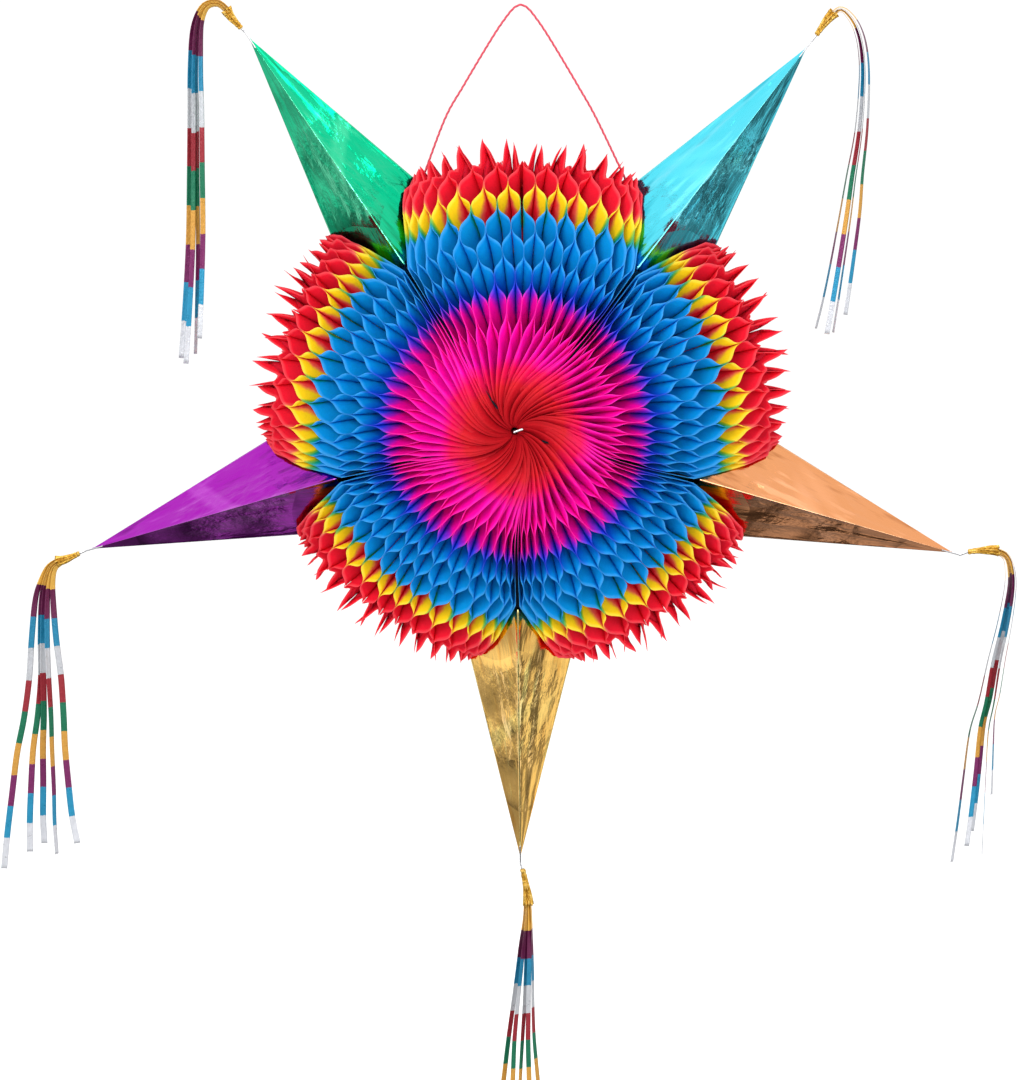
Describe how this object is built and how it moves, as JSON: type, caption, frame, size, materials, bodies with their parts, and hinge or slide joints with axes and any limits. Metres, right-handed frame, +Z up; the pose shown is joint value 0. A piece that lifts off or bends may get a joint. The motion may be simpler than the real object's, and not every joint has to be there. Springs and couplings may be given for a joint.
{
  "type": "star pinata",
  "caption": "Fold-flat star pinata with a honeycomb tissue body, foil card points, foil streamers and a hanging cord; it fans shut about its spine wire.",
  "frame": {"origin": "top of the hanging cord's loop, where a hook or hand holds it", "axes": "+Z up along the hanging direction, the front of the star faces -Y and +X is to the right as seen from the front"},
  "size_m": [0.6878, 0.2752, 0.8056],
  "materials": {
    "dyed_tissue": "honeycomb tissue paper dyed in rings of red, pink, blue, green and yellow",
    "green_foil": "mirror-like metallised foil on card",
    "teal_foil": "mirror-like metallised foil on card",
    "purple_foil": "mirror-like metallised foil on card",
    "orange_foil": "mirror-like metallised foil on card",
    "gold_foil": "mirror-like metallised foil on card",
    "grey_card": "plain card",
    "white_plastic": "plain",
    "steel_wire": "bright drawn wire",
    "striped_foil": "foil strip printed in blocks of gold, purple, blue, silver, red and green",
    "red_cord": "thin twisted cord"
  },
  "bodies": {
    "hub": {"spine_wire": "steel_wire", "hanging_cord": "red_cord", "left_knot": "red_cord", "right_knot": "red_cord", "top_lobe": "dyed_tissue"},
    "green_point": {"green_cone": "green_foil", "green_card": "grey_card", "upper_left_lobe": "dyed_tissue"},
    "purple_point": {"purple_cone": "purple_foil", "purple_card": "grey_card", "lower_left_lobe": "dyed_tissue"},
    "gold_left_point": {"gold_left_cone": "gold_foil", "gold_left_card": "grey_card", "front_stud": "white_plastic", "rear_stud": "white_plastic"},
    "teal_point": {"teal_cone": "teal_foil", "teal_card": "grey_card", "upper_right_lobe": "dyed_tissue"},
    "orange_point": {"orange_cone": "orange_foil", "orange_card": "grey_card", "lower_right_lobe": "dyed_tissue"},
    "gold_right_point": {"gold_right_cone": "gold_foil", "gold_right_card": "grey_card"},
    "green_tassel": {"green_tie": "steel_wire", "green_gather": "gold_foil", "green_streamers": "striped_foil"},
    "teal_tassel": {"teal_tie": "steel_wire", "teal_gather": "gold_foil", "teal_streamers": "striped_foil"},
    "purple_tassel": {"purple_tie": "steel_wire", "purple_gather": "gold_foil", "purple_streamers": "striped_foil"},
    "orange_tassel": {"orange_tie": "steel_wire", "orange_gather": "gold_foil", "orange_streamers": "striped_foil"},
    "gold_tassel": {"gold_tie": "steel_wire", "gold_gather": "gold_foil", "gold_streamers": "striped_foil"}
  },
  "joints": [
    {"name": "green_fold", "type": "hinge", "parent": "hub", "child": "green_point", "pos_m": [0, 0, -0.268], "axis": [0, 1, 0], "range_deg": [0, 34], "deforming": ["top_lobe", "green_cone", "hanging_cord", "left_knot", "right_knot"]},
    {"name": "purple_fold", "type": "hinge", "parent": "green_point", "child": "purple_point", "pos_m": [0, 0, -0.268], "axis": [0, 1, 0], "range_deg": [0, 68], "deforming": ["upper_left_lobe", "purple_cone"]},
    {"name": "gold_left_fold", "type": "hinge", "parent": "purple_point", "child": "gold_left_point", "pos_m": [0, 0, -0.268], "axis": [0, 1, 0], "range_deg": [0, 64], "deforming": ["lower_left_lobe", "gold_left_cone"]},
    {"name": "teal_fold", "type": "hinge", "parent": "hub", "child": "teal_point", "pos_m": [0, 0, -0.268], "axis": [0, 1, 0], "range_deg": [-36, 0], "deforming": ["teal_cone"]},
    {"name": "orange_fold", "type": "hinge", "parent": "teal_point", "child": "orange_point", "pos_m": [0, 0, -0.268], "axis": [0, 1, 0], "range_deg": [-66, 0], "deforming": ["upper_right_lobe", "orange_cone"]},
    {"name": "gold_right_fold", "type": "hinge", "parent": "orange_point", "child": "gold_right_point", "pos_m": [0, 0, -0.268], "axis": [0, 1, 0], "range_deg": [-66, 0], "deforming": ["lower_right_lobe", "gold_right_cone"]},
    {"name": "green_tassel_hang", "type": "hinge", "parent": "green_point", "child": "green_tassel", "pos_m": [-0.17457, 0, -0.02772], "axis": [0, 1, 0], "range_deg": [-34, 0], "deforming": ["green_streamers"]},
    {"name": "purple_tassel_hang", "type": "hinge", "parent": "purple_point", "child": "purple_tassel", "pos_m": [-0.28246, 0, -0.35978], "axis": [0, 1, 0], "range_deg": [-102, 0], "deforming": ["purple_streamers"]},
    {"name": "gold_tassel_hang", "type": "hinge", "parent": "gold_left_point", "child": "gold_tassel", "pos_m": [0, 0, -0.565], "axis": [0, 1, 0], "range_deg": [-166, 0], "deforming": ["gold_streamers"]},
    {"name": "teal_tassel_hang", "type": "hinge", "parent": "teal_point", "child": "teal_tassel", "pos_m": [0.18285, 0, -0.03396], "axis": [0, 1, 0], "range_deg": [0, 36], "deforming": ["teal_streamers"]},
    {"name": "orange_tassel_hang", "type": "hinge", "parent": "orange_point", "child": "orange_tassel", "pos_m": [0.28246, 0, -0.35978], "axis": [0, 1, 0], "range_deg": [0, 102], "deforming": ["orange_streamers"]}
  ],
  "couplings": [
    {"joint": "purple_fold", "follows": "green_fold", "ratio": 2},
    {"joint": "gold_left_fold", "follows": "green_fold", "ratio": 1.8823},
    {"joint": "teal_fold", "follows": "green_fold", "ratio": -1.0588},
    {"joint": "orange_fold", "follows": "green_fold", "ratio": -1.9412},
    {"joint": "gold_right_fold", "follows": "green_fold", "ratio": -1.9412},
    {"joint": "green_tassel_hang", "follows": "green_fold", "ratio": -1},
    {"joint": "purple_tassel_hang", "follows": "green_fold", "ratio": -3},
    {"joint": "gold_tassel_hang", "follows": "green_fold", "ratio": -4.8823},
    {"joint": "teal_tassel_hang", "follows": "green_fold", "ratio": 1.0588},
    {"joint": "orange_tassel_hang", "follows": "green_fold", "ratio": 3}
  ]
}
